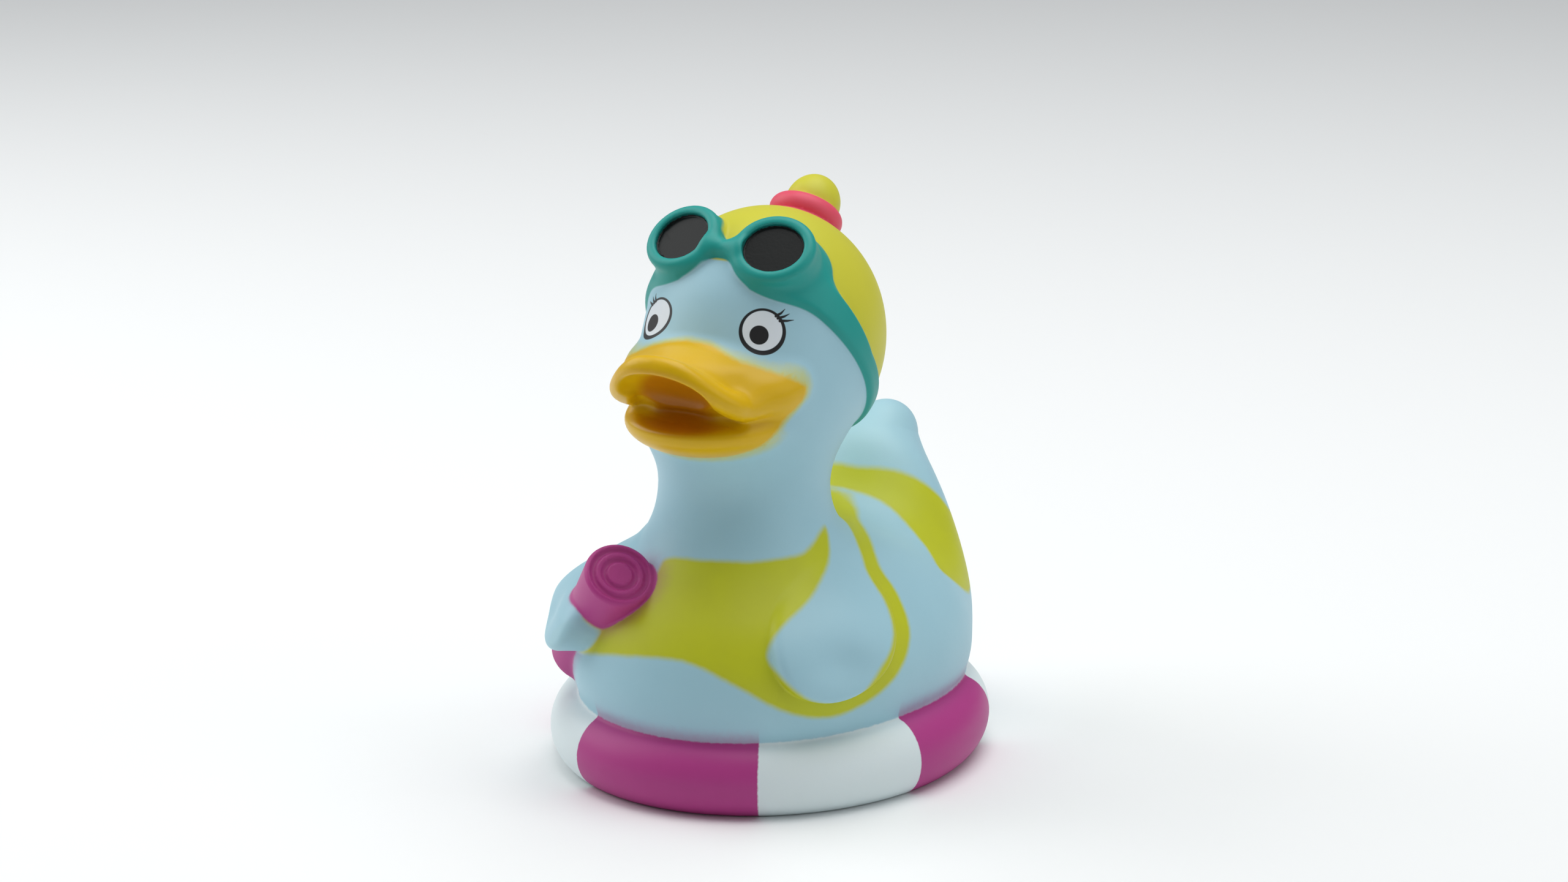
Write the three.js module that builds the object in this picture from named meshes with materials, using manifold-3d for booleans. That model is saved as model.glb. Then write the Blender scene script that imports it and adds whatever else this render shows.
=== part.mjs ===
// Rubber bath duck with a life ring, swimming goggles, a bathing cap and a rolled towel.
// One hollow vinyl moulding, in millimetres, +Z up, standing on z = 0, bill towards -Y.
// The soft sculpted form is one field of signed distances, where neighbouring forms run
// into each other with a stated fillet. It is meshed, thinned out, and joined to the turned
// forms: the life ring, the towel roll and the pompom. Then the hollow and its vent are cut.
import * as THREE from 'three';
import { mergeVertices } from 'three/addons/utils/BufferGeometryUtils.js';
import Module from 'manifold-3d';

// Driving dimensions, lengths in mm and angles in degrees
const wall = 2.2;
const ventDiameter = 3.0;
const ring = { width: 58.6, length: 65.6, height: 10.0, tubeWidth: 9.6, back: 0.4, sunk: 0.6 };
const floorRecess = 1.2;
const bellyInset = { side: 3.9, end: 2.4 };
const belly = { halfWidth: ring.width / 2 - bellyInset.side, halfLength: ring.length / 2 - bellyInset.end,
  halfHeight: 18.0, back: 1.3, up: 14.5 };
const chest = { halfWidth: 20.3, halfLength: 18.4, halfHeight: 15.0, front: 9.5, up: 17.0 };
const neck = { radius: 11.8, topRadius: 11.4, front: 7.2, foot: 30.0, lean: 0.9, belowHead: 10.6 };
const head = { halfWidth: 15.9, halfLength: 17.6, halfHeight: 17.6, front: 1.0, up: 58.6 };
const muzzle = { halfWidth: 12.4, halfLength: 12.0, halfHeight: 9.6, ahead: 9.4, below: 7.6 };
const tail = { halfWidth: 13.6, halfLength: 9.0, halfHeight: 19.8, inset: 6.6, up: 20.0, lean: 6 };
const tailTip = { rootBack: 1.8, rootUp: 2.0, back: 7.9, up: 17.6, rootRadius: 9.3, radius: 4.1 };
const billRoot = { halfWidth: 12.4, halfLength: 9.5, halfHeight: 4.9, ahead: 13.2, below: 2.4 };
const snout = { halfWidth: 7.0, halfLength: 11.2, halfHeight: 3.5, ahead: 18.4, below: 1.5, rise: 8 };
const lowerBill = { halfWidth: 12.0, halfLength: 11.8, halfHeight: 4.6, ahead: 14.3, below: 8.4 };
const lowerLip = { below: 7.0, edge: 1.2 };
const mouth = { halfWidth: 6.4, halfLength: 7.2, halfHeight: 3.6, ahead: 27.3, below: 2.9, rise: 22 };
const mouthSlot = { halfWidth: 7.8, halfLength: 4.6, halfHeight: 1.6, ahead: 25.8, below: 5.8 };
const goggle = { halfWidth: 5.6, halfHeight: 5.2, lensHalfWidth: 4.15, depth: 7.0, standOff: 2.1,
  rimHeight: 0.6, lensDepth: 0.5, taper: 0.7, turn: 14, up: 47 };
const goggleFlange = { outward: 0.5, down: 0.5, margin: 0.8, thickness: 0.6 };
const bridge = { halfLength: 1.6, radius: 1.15, ahead: 1.8, below: 1.6 };
const strap = { width: 3.8, thickness: 0.8, slope: 51.7, offset: 34.45, widening: 3.2, edge: 1.2 };
const pompom = { back: 35.4, tilt: 40.6, sunk: 0.35, bandDiameter: 10.3, bandHeight: 3.3,
  domeDiameter: 8.4, height: 7.0 };
const towel = { radius: 4.75, length: 22.0, edge: 0.7, ringStep: 0.45 };
const towelFront = new THREE.Vector3(-8.7, -24.8, 30.0);
const towelDirection = new THREE.Vector3(-10.9, 8.9, -14.4).normalize();
const wing = { halfLength: 11.1, halfHeight: 7.4, back: 1.05, up: 2.06, droop: 24.8, proud: 2.0, edge: 2.0 };
const holdingWing = { ...wing, up: wing.up + 1.8, proud: 4.2 };

// Points of the rolled lip of the bill: sideways, ahead of the middle of the head, and above
// it. The lip runs from the tip of the bill past the corner of the mouth and up the cheek.
const lipPath = [[0, 28.2, 2.3], [2.8, 28.0, 1.8], [5.2, 27.0, 0.1], [7.1, 25.4, -1.7], [8.7, 23.4, -3.7],
  [9.4, 21.0, -5.0], [10.5, 18.0, -5.0], [11.6, 15.0, -3.8], [12.3, 12.4, -2.3]];
const lipRadius = { tip: 1.3, cheek: 1.1 };

const finestCell = 0.8;
const sculptTriangles = 6500;
const hollowTriangles = 900;

// Signed distances: negative inside, blended by a fillet radius
const fillet = (a, b, radius) => {
  const overlap = Math.max(radius - Math.abs(a - b), 0) / radius;
  return Math.min(a, b) - overlap * overlap * radius / 4;
};
const trim = (a, b, radius) => -fillet(-a, -b, radius);
const carve = (a, b, radius) => trim(a, -b, radius);

function ellipse(u, v, halfU, halfV) {
  const reach = Math.hypot(u / halfU, v / halfV);
  const slope = Math.hypot(u / halfU ** 2, v / halfV ** 2) + 1e-9;
  return reach * (reach - 1) / slope;
}

function ellipsoid(x, y, z, form) {
  const reach = Math.hypot(x / form.halfWidth, y / form.halfLength, z / form.halfHeight);
  const [sx, sy, sz] = [x / form.halfWidth ** 2, y / form.halfLength ** 2, z / form.halfHeight ** 2];
  const slope = Math.hypot(sx, sy, sz) + 1e-9;
  return reach * (reach - 1) / slope;
}

// An ellipsoid with its nose, towards -Y, raised by some degrees
function raisedEllipsoid(x, y, z, form, degrees) {
  const c = Math.cos(THREE.MathUtils.degToRad(degrees));
  const s = Math.sin(THREE.MathUtils.degToRad(degrees));
  return ellipsoid(x, y * c - z * s, y * s + z * c, form);
}

// A bar between two points, with round ends of two radii
function roundBar(x, y, z, from, to, fromRadius, toRadius) {
  const [dx, dy, dz] = [to[0] - from[0], to[1] - from[1], to[2] - from[2]];
  const [gapX, gapY, gapZ] = [x - from[0], y - from[1], z - from[2]];
  const along = (gapX * dx + gapY * dy + gapZ * dz) / (dx * dx + dy * dy + dz * dz);
  const t = THREE.MathUtils.clamp(along, 0, 1);
  return Math.hypot(gapX - dx * t, gapY - dy * t, gapZ - dz * t) - fromRadius - (toRadius - fromRadius) * t;
}

// A row of bars through the points of a path
function roundPath(x, y, z, path, startRadius, endRadius) {
  let field = Infinity;
  const steps = path.length - 1;
  for (let i = 0; i < steps; i += 1) {
    const near = startRadius + (endRadius - startRadius) * (i / steps);
    const far = startRadius + (endRadius - startRadius) * ((i + 1) / steps);
    field = Math.min(field, roundBar(x, y, z, path[i], path[i + 1], near, far));
  }
  return field;
}

function headField(x, y, z) {
  const skull = ellipsoid(x, y + head.front, z - head.up, head);
  const cheeks = ellipsoid(x, y + head.front + muzzle.ahead, z - head.up + muzzle.below, muzzle);
  return fillet(skull, cheeks, 7);
}

const tailBack = belly.back + belly.halfLength - tail.inset;
const neckFoot = [0, -neck.front, neck.foot];
const neckTop = [0, neck.lean - neck.front, head.up - neck.belowHead];
const tailRoot = [0, tailBack + tailTip.rootBack, tail.up + tailTip.rootUp];
const tailEnd = [0, tailBack + tailTip.back, tail.up + tailTip.up];
function bodyField(x, y, z) {
  const round = ellipsoid(x, y - belly.back, z - belly.up, belly);
  const breast = ellipsoid(x, y + chest.front, z - chest.up, chest);
  const throat = roundBar(x, y, z, neckFoot, neckTop, neck.radius, neck.topRadius);
  const rump = raisedEllipsoid(x, y - tailBack, z - tail.up, tail, tail.lean);
  const point = roundBar(x, y, z, tailRoot, tailEnd, tailTip.rootRadius, tailTip.radius);
  const trunk = fillet(fillet(round, breast, 7), throat, 7.5);
  return fillet(fillet(trunk, rump, 9), point, 6);
}

// A wing lies along the flank. Its outline is an oval that droops to the front, and it
// stands proud of the skin at its lower edge and fades out at the shoulder.
const flank = new THREE.Vector3(belly.halfWidth * 0.77, belly.back - 17.3, belly.up + 7);
const forward = new THREE.Vector2(-0.5, -0.866);
const droop = THREE.MathUtils.degToRad(wing.droop);
function wingField(x, y, z, skin, side, form) {
  const outward = x * side;
  if (outward < 0) return 50;
  const t = (outward - flank.x) * forward.x + (y - flank.y) * forward.y + form.back;
  const v = z - flank.z - form.up;
  const length = t * Math.cos(droop) - v * Math.sin(droop);
  const height = t * Math.sin(droop) + v * Math.cos(droop);
  const shoulder = 1 - THREE.MathUtils.smoothstep(v, -3, 7);
  const rearFade = 1 - 0.5 * THREE.MathUtils.smoothstep(-t, 5, 12);
  const outline = ellipse(length, height, form.halfLength, form.halfHeight);
  return trim(skin - form.proud * shoulder * rearFade, outline, form.edge);
}

function billField(x, y, z) {
  const ahead = -(y + head.front);
  const above = z - head.up;
  const root = ellipsoid(x, billRoot.ahead - ahead, above + billRoot.below, billRoot);
  const nose = raisedEllipsoid(x, snout.ahead - ahead, above + snout.below, snout, snout.rise);
  const jaw = ellipsoid(x, lowerBill.ahead - ahead, above + lowerBill.below, lowerBill);
  const side = Math.abs(x);
  const lip = roundPath(side, ahead, above, lipPath, lipRadius.tip, lipRadius.cheek);
  const upper = fillet(fillet(root, nose, 3.5), lip, 1.5);
  return fillet(upper, trim(jaw, above + lowerLip.below, lowerLip.edge), 0.8);
}

// The open mouth: a raised hollow under the upper bill and a slot between the lips
function mouthField(x, y, z) {
  const ahead = -(y + head.front);
  const above = z - head.up;
  const palate = raisedEllipsoid(x, mouth.ahead - ahead, above + mouth.below, mouth, mouth.rise);
  const slot = ellipsoid(x, mouthSlot.ahead - ahead, above + mouthSlot.below, mouthSlot);
  return fillet(palate, slot, 1);
}

// Local frame of a goggle: across, up along the lens, and out of the lens
function gogglePlace() {
  const turn = THREE.MathUtils.degToRad(goggle.turn);
  const up = THREE.MathUtils.degToRad(goggle.up);
  const out = new THREE.Vector3(Math.sin(turn) * Math.cos(up), -Math.cos(turn) * Math.cos(up), Math.sin(up));
  const across = new THREE.Vector3(0, 0, 1).cross(out).normalize();
  const upward = out.clone().cross(across);
  const seat = new THREE.Vector3(0.385, -0.475, 0.79).normalize();
  const centre = new THREE.Vector3(head.halfWidth * seat.x, -head.front + head.halfLength * seat.y,
    head.up + head.halfHeight * seat.z).addScaledVector(out, goggle.standOff);
  return { out, across, upward, centre };
}
const eyepiece = gogglePlace();
const strapSlope = THREE.MathUtils.degToRad(strap.slope);

function gogglesField(x, y, z, skull) {
  const offset = new THREE.Vector3(Math.abs(x), y, z).sub(eyepiece.centre);
  const u = offset.dot(eyepiece.across);
  const v = offset.dot(eyepiece.upward);
  const t = offset.dot(eyepiece.out);
  const foot = trim(ellipse(u, v, goggle.halfWidth, goggle.halfHeight), Math.abs(t + 4.2) - 2.8, 1.5);
  const { centre } = eyepiece;
  const saddle = Math.hypot(Math.max(Math.abs(x) - bridge.halfLength, 0), y - centre.y + bridge.ahead,
    z - centre.z + bridge.below) - bridge.radius;
  const rim = ellipse(u - goggleFlange.outward, v + goggleFlange.down,
    goggle.halfWidth + goggleFlange.margin, goggle.halfHeight + goggleFlange.margin);
  const flange = trim(skull - goggleFlange.thickness, rim, 0.5);
  const height = Math.sin(strapSlope) * y + Math.cos(strapSlope) * z - strap.offset;
  const widening = strap.widening * THREE.MathUtils.clamp((-y - 1) / 5, 0, 1);
  const acrossBand = Math.abs(height - widening / 2) - (strap.width + widening) / 2;
  let band = trim(skull - strap.thickness, acrossBand, strap.edge);
  band = Math.max(band, -10 - y);
  return fillet(fillet(fillet(foot, flange, 1.0), band, 0.6), saddle, 1.2);
}

function sculptField(x, y, z) {
  const skull = headField(x, y, z);
  const skin = fillet(bodyField(x, y, z), skull, 4);
  let field = fillet(skin, wingField(x, y, z, skin, 1, wing), 0.5);
  field = fillet(field, wingField(x, y, z, skin, -1, holdingWing), 0.8);
  field = carve(fillet(field, billField(x, y, z), 1.6), mouthField(x, y, z), 1.6);
  return fillet(field, gogglesField(x, y, z, skull), 0.7);
}

// The hollow follows the large forms one wall thickness inside, and runs into the ring
function hollowField(x, y, z) {
  const skin = fillet(bodyField(x, y, z), headField(x, y, z), 4);
  const oval = ring.width / ring.length;
  const tubeCentre = ring.width / 2 - ring.tubeWidth / 2;
  const radial = Math.hypot(x, (y - ring.back) * oval) - tubeCentre;
  const tube = ellipse(radial, z - ring.height / 2, ring.tubeWidth / 2, ring.height / 2);
  const floor = floorRecess - z;
  return trim(fillet(skin, tube, 3) + wall, floor + wall, 2);
}

// Marching tetrahedra: each lattice cell is split into six tetrahedra round its diagonal
const axisOrders = [[0, 1, 2], [0, 2, 1], [1, 0, 2], [1, 2, 0], [2, 0, 1], [2, 1, 0]];
function meshField(field, low, high, cell) {
  const count = [0, 1, 2].map((i) => Math.ceil((high[i] - low[i]) / cell) + 1);
  const stride = [1, count[0], count[0] * count[1]];
  const values = new Float64Array(count[0] * count[1] * count[2]);
  const place = (id) => [id % count[0], Math.floor(id / stride[1]) % count[1], Math.floor(id / stride[2])]
    .map((step, i) => low[i] + step * cell);
  for (let id = 0; id < values.length; id += 1) values[id] = field(...place(id));
  const points = [];
  const triangles = [];
  const crossings = new Map();
  const crossing = (inside, outside) => {
    const key = inside * values.length + outside;
    if (!crossings.has(key)) {
      const share = THREE.MathUtils.clamp(values[inside] / (values[inside] - values[outside]), 0.05, 0.95);
      const from = place(inside);
      const to = place(outside);
      crossings.set(key, points.length);
      points.push(from.map((start, i) => start + (to[i] - start) * share));
    }
    return crossings.get(key);
  };
  const addTriangle = (a, b, c, flip) => triangles.push(flip ? [a, c, b] : [a, b, c]);
  for (let k = 0; k < count[2] - 1; k += 1) {
    for (let j = 0; j < count[1] - 1; j += 1) {
      for (let i = 0; i < count[0] - 1; i += 1) {
        const corner = i + j * stride[1] + k * stride[2];
        const far = corner + stride[0] + stride[1] + stride[2];
        if (Math.abs(values[corner]) > cell * 4 && values[corner] * values[far] > 0) continue;
        axisOrders.forEach((order, number) => {
          const mid1 = corner + stride[order[0]];
          const mid2 = mid1 + stride[order[1]];
          const tetra = [corner, mid1, mid2, far];
          const odd = number === 1 || number === 2 || number === 5;
          const inner = tetra.filter((id) => values[id] < 0);
          const outer = tetra.filter((id) => values[id] >= 0);
          if (inner.length === 0 || outer.length === 0) return;
          const order4 = [...inner, ...outer].map((id) => tetra.indexOf(id));
          let swaps = 0;
          for (let a = 0; a < 4; a += 1) for (let b = a + 1; b < 4; b += 1) if (order4[a] > order4[b]) swaps += 1;
          const flip = (swaps % 2 === 1) !== odd;
          if (inner.length === 1) {
            addTriangle(...outer.map((id) => crossing(inner[0], id)), flip);
          } else if (outer.length === 1) {
            addTriangle(...inner.map((id) => crossing(id, outer[0])), flip);
          } else {
            const a = crossing(inner[0], outer[0]);
            const b = crossing(inner[0], outer[1]);
            const c = crossing(inner[1], outer[1]);
            const d = crossing(inner[1], outer[0]);
            addTriangle(a, b, c, flip);
            addTriangle(a, c, d, flip);
          }
        });
      }
    }
  }
  return { points, triangles };
}

// Edge collapse by quadric error: each vertex keeps the sum of squared distances to the
// planes round it, and the edge that adds the least error goes first.
class Quadric {
  constructor() {
    this.m = new Float64Array(10);
  }

  addPlane(a, b, c, d, weight) {
    const terms = [a * a, a * b, a * c, a * d, b * b, b * c, b * d, c * c, c * d, d * d];
    terms.forEach((term, i) => { this.m[i] += term * weight; });
  }

  add(other) {
    other.m.forEach((term, i) => { this.m[i] += term; });
  }

  error(p) {
    const m = this.m;
    const [x, y, z] = p;
    return m[0] * x * x + m[4] * y * y + m[7] * z * z + m[9]
      + 2 * (m[1] * x * y + m[2] * x * z + m[3] * x + m[5] * y * z + m[6] * y + m[8] * z);
  }
}

class Heap {
  constructor() {
    this.items = [];
  }

  push(item) {
    const items = this.items;
    items.push(item);
    let at = items.length - 1;
    while (at > 0) {
      const parent = (at - 1) >> 1;
      if (items[parent].cost <= items[at].cost) break;
      [items[parent], items[at]] = [items[at], items[parent]];
      at = parent;
    }
  }

  pop() {
    const items = this.items;
    const top = items[0];
    const last = items.pop();
    if (items.length === 0) return top;
    items[0] = last;
    let at = 0;
    for (;;) {
      let least = at;
      const left = 2 * at + 1;
      if (left < items.length && items[left].cost < items[least].cost) least = left;
      if (left + 1 < items.length && items[left + 1].cost < items[least].cost) least = left + 1;
      if (least === at) return top;
      [items[least], items[at]] = [items[at], items[least]];
      at = least;
    }
  }
}

function faceNormal(a, b, c) {
  const u = [b[0] - a[0], b[1] - a[1], b[2] - a[2]];
  const v = [c[0] - a[0], c[1] - a[1], c[2] - a[2]];
  return [u[1] * v[2] - u[2] * v[1], u[2] * v[0] - u[0] * v[2], u[0] * v[1] - u[1] * v[0]];
}

function thinOut(mesh, targetTriangles) {
  const { points, triangles } = mesh;
  const around = points.map(() => new Set());
  const quadrics = points.map(() => new Quadric());
  triangles.forEach((corners, number) => {
    const normal = faceNormal(...corners.map((id) => points[id]));
    const area = Math.hypot(...normal) + 1e-12;
    const [a, b, c] = normal.map((part) => part / area);
    const [x, y, z] = points[corners[0]];
    corners.forEach((id) => {
      around[id].add(number);
      quadrics[id].addPlane(a, b, c, -(a * x + b * y + c * z), area);
    });
  });
  const version = new Uint32Array(points.length);
  const heap = new Heap();
  const neighbours = (id) => {
    const found = new Set();
    around[id].forEach((number) => triangles[number].forEach((other) => found.add(other)));
    found.delete(id);
    return found;
  };
  const consider = (a, b) => {
    const sum = new Quadric();
    sum.add(quadrics[a]);
    sum.add(quadrics[b]);
    const middle = points[a].map((value, i) => (value + points[b][i]) / 2);
    const choices = [middle, points[a], points[b]];
    const best = choices.reduce((least, p) => (sum.error(p) < sum.error(least) ? p : least));
    const length2 = (points[a][0] - points[b][0]) ** 2 + (points[a][1] - points[b][1]) ** 2
      + (points[a][2] - points[b][2]) ** 2;
    heap.push({ cost: sum.error(best) + 1e-4 * length2, a, b, at: best, stampA: version[a], stampB: version[b] });
  };
  triangles.forEach(([a, b, c]) => {
    if (a < b) consider(a, b);
    if (b < c) consider(b, c);
    if (c < a) consider(c, a);
  });
  let alive = triangles.length;
  const keepsShape = (moved, other, at) => [...around[moved]].every((number) => {
    const corners = triangles[number];
    if (corners.includes(other)) return true;
    const before = faceNormal(...corners.map((id) => points[id]));
    const after = faceNormal(...corners.map((id) => (id === moved ? at : points[id])));
    const dot = before[0] * after[0] + before[1] * after[1] + before[2] * after[2];
    return dot > 0.3 * Math.hypot(...before) * Math.hypot(...after) && Math.hypot(...after) > 1e-3;
  });
  while (alive > targetTriangles && heap.items.length > 0) {
    const { a, b, at, stampA, stampB } = heap.pop();
    if (version[a] !== stampA || version[b] !== stampB) continue;
    const nearA = neighbours(a);
    const shared = [...neighbours(b)].filter((id) => nearA.has(id));
    if (shared.length !== 2 || !keepsShape(a, b, at) || !keepsShape(b, a, at)) continue;
    points[a] = at;
    quadrics[a].add(quadrics[b]);
    [...around[b]].forEach((number) => {
      const corners = triangles[number];
      if (corners.includes(a)) {
        corners.forEach((id) => around[id].delete(number));
        triangles[number] = null;
        alive -= 1;
      } else {
        corners[corners.indexOf(b)] = a;
        around[a].add(number);
      }
    });
    around[b].clear();
    version[a] += 1;
    version[b] += 1;
    neighbours(a).forEach((id) => consider(Math.min(a, id), Math.max(a, id)));
  }
  return { points, triangles: triangles.filter((corners) => corners !== null) };
}

function toGeometry({ points, triangles }) {
  const used = new Map();
  const positions = [];
  const index = triangles.flat().map((id) => {
    if (!used.has(id)) {
      used.set(id, used.size);
      positions.push(...points[id]);
    }
    return used.get(id);
  });
  const geometry = new THREE.BufferGeometry();
  geometry.setAttribute('position', new THREE.Float32BufferAttribute(positions, 3));
  geometry.setIndex(index);
  return geometry;
}

// A full turn about +Z from a profile of (radius, height) points
function turned(profile, segments) {
  return new THREE.LatheGeometry(profile, segments).rotateX(Math.PI / 2);
}

// The life ring: an elliptical tube section, turned and then drawn out to an oval
function ringGeometry() {
  const middle = ring.width / 2 - ring.tubeWidth / 2;
  const section = new THREE.EllipseCurve(middle, 0, ring.tubeWidth / 2, ring.height / 2 + ring.sunk / 2, 0, Math.PI * 2);
  return turned(section.getPoints(14), 52)
    .scale(1, ring.length / ring.width, 1)
    .translate(0, ring.back, ring.height / 2 - ring.sunk / 2);
}

// One eyepiece of the goggles: an oval cup, tapered to its rim, with the lens set into it
function eyepieceGeometry(side) {
  const { halfWidth, halfHeight, lensHalfWidth, depth, rimHeight, lensDepth, taper } = goggle;
  const rimRadius = (halfWidth - lensHalfWidth) / 2;
  const profile = new THREE.Path();
  profile.moveTo(0, -depth);
  profile.lineTo(halfWidth + taper, -depth);
  profile.lineTo(halfWidth, -rimHeight);
  profile.absellipse(halfWidth - rimRadius, -rimHeight, rimRadius, rimHeight + 0.5, 0, Math.PI * 0.94, false);
  profile.lineTo(lensHalfWidth, -lensDepth);
  profile.lineTo(lensHalfWidth * 0.6, -lensDepth + 0.12);
  profile.lineTo(0, -lensDepth + 0.2);
  const place = new THREE.Matrix4().makeBasis(eyepiece.across, eyepiece.upward, eyepiece.out)
    .setPosition(eyepiece.centre);
  const geometry = turned(profile.getPoints(6), 28).scale(1, halfHeight / halfWidth, 1).applyMatrix4(place);
  if (side > 0) return geometry;
  geometry.scale(-1, 1, 1);
  const corners = geometry.index.array;
  for (let i = 0; i < corners.length; i += 3) [corners[i], corners[i + 1]] = [corners[i + 1], corners[i]];
  return geometry;
}

// The towel roll: a turned bar with rounded ends, whose turns show as steps on each end
function towelGeometry() {
  const { radius, length, edge, ringStep } = towel;
  const half = new THREE.Path();
  half.moveTo(0, length / 2);
  half.lineTo(radius * 0.40, length / 2);
  half.lineTo(radius * 0.45, length / 2 - ringStep);
  half.lineTo(radius * 0.54, length / 2);
  half.lineTo(radius * 0.72, length / 2);
  half.lineTo(radius * 0.77, length / 2 - ringStep);
  half.lineTo(radius - edge, length / 2);
  half.absarc(radius - edge, length / 2 - edge, edge, Math.PI / 2, 0, true);
  const upper = half.getPoints(3);
  const lower = upper.map((point) => new THREE.Vector2(point.x, -point.y)).reverse();
  const turn = new THREE.Quaternion().setFromUnitVectors(new THREE.Vector3(0, 0, -1), towelDirection);
  return turned([...upper, ...lower].reverse(), 24)
    .applyQuaternion(turn)
    .translate(...towelFront.clone().addScaledVector(towelDirection, length / 2).toArray());
}

// The pompom on the cap: a round band and a dome, turned about an axis that leans back
function pompomGeometry() {
  const band = new THREE.Path();
  const bandRadius = pompom.bandDiameter / 2;
  const domeRadius = pompom.domeDiameter / 2;
  const halfBand = pompom.bandHeight / 2;
  band.moveTo(0, -2);
  band.lineTo(bandRadius - 1, -2);
  band.absellipse(bandRadius - 1.6, halfBand - 0.6, 1.6, halfBand, -Math.PI / 3, Math.PI / 2.4, false);
  band.lineTo(domeRadius, pompom.bandHeight - 0.4);
  band.absellipse(0, pompom.bandHeight - 0.4, domeRadius, pompom.height - pompom.bandHeight + 0.4, 0, Math.PI / 2, false);
  const tilt = THREE.MathUtils.degToRad(pompom.tilt);
  const back = THREE.MathUtils.degToRad(pompom.back);
  const seat = [0, (head.halfLength - pompom.sunk) * Math.sin(back) - head.front,
    head.up + (head.halfHeight - pompom.sunk) * Math.cos(back)];
  const profile = band.getPoints(6);
  profile[profile.length - 1].x = 0;
  return turned(profile, 24).rotateX(-tilt).translate(...seat);
}

// An oval plate that fills the life ring from one height to another
function floorGeometry(low, high, inset = 0) {
  const halfWidth = ring.width / 2 - ring.tubeWidth / 2 - inset;
  return new THREE.CylinderGeometry(halfWidth, halfWidth, high - low, 48)
    .rotateX(Math.PI / 2)
    .scale(1, ring.length / ring.width, 1)
    .translate(0, ring.back, (low + high) / 2);
}

// Joining and cutting
const wasm = await Module();
wasm.setup();

function toSolid(geometry) {
  geometry.deleteAttribute('normal');
  geometry.deleteAttribute('uv');
  const merged = mergeVertices(geometry, 1e-4);
  return new wasm.Manifold(new wasm.Mesh({
    numProp: 3,
    vertProperties: new Float32Array(merged.attributes.position.array),
    triVerts: new Uint32Array(merged.index.array),
  }));
}

function fromSolid(solid) {
  const mesh = solid.getMesh();
  const geometry = new THREE.BufferGeometry();
  geometry.setAttribute('position', new THREE.BufferAttribute(new Float32Array(mesh.vertProperties), 3));
  geometry.setIndex(new THREE.BufferAttribute(new Uint32Array(mesh.triVerts), 1));
  geometry.computeVertexNormals();
  return geometry;
}

function buildDuck() {
  const reach = [ring.width / 2 + 4, ring.length / 2 + 6];
  const top = head.up + head.halfHeight + 5;
  const sculpt = meshField(sculptField, [-reach[0], -reach[1], -6], [reach[0], reach[1], top], finestCell);
  const hollow = meshField(hollowField, [-reach[0], -reach[1], 0], [reach[0], reach[1], top], 2 * finestCell);
  let duck = toSolid(toGeometry(thinOut(sculpt, sculptTriangles)));
  duck = duck.add(toSolid(ringGeometry()));
  duck = duck.add(toSolid(towelGeometry()));
  duck = duck.add(toSolid(pompomGeometry()));
  duck = duck.add(toSolid(eyepieceGeometry(1)));
  duck = duck.add(toSolid(eyepieceGeometry(-1)));
  duck = duck.add(toSolid(floorGeometry(floorRecess, floorRecess + wall + 2)));
  const below = new THREE.BoxGeometry(ring.width * 2, ring.length * 2, 40).translate(0, 0, -20);
  duck = duck.subtract(toSolid(below));
  duck = duck.subtract(toSolid(floorGeometry(-floorRecess, floorRecess, 1.2)));
  duck = duck.subtract(toSolid(toGeometry(thinOut(hollow, hollowTriangles))));
  const vent = new THREE.CylinderGeometry(ventDiameter / 2, ventDiameter / 2, 4 * wall + 2 * floorRecess, 24)
    .rotateX(Math.PI / 2).translate(0, 0, wall);
  return duck.subtract(toSolid(vent));
}

const vinyl = new THREE.MeshStandardMaterial({ color: 0x9bc6d7, roughness: 0.5, metalness: 0 });
const duck = new THREE.Mesh(fromSolid(buildDuck()), vinyl);
duck.name = 'duck';

// The origin is under the middle of the whole, tail included
duck.geometry.computeBoundingBox();
duck.position.y = -duck.geometry.boundingBox.getCenter(new THREE.Vector3()).y;

const model = new THREE.Group();
model.add(duck);
export default model;
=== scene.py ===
"""Looks of the rubber bath duck: one vinyl moulding with airbrushed and printed paint.

Sculpted forms are signed distances in millimetres, negative inside, in the design frame:
z = 0 is the plane that the life ring rests on, x = 0 the mirror plane, the bill points to -Y.
The moulding is meshed from them, and its vertices carry the distance to each paint edge and to the edge of
the painted shade inside the mouth.
"""
import math

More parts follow.
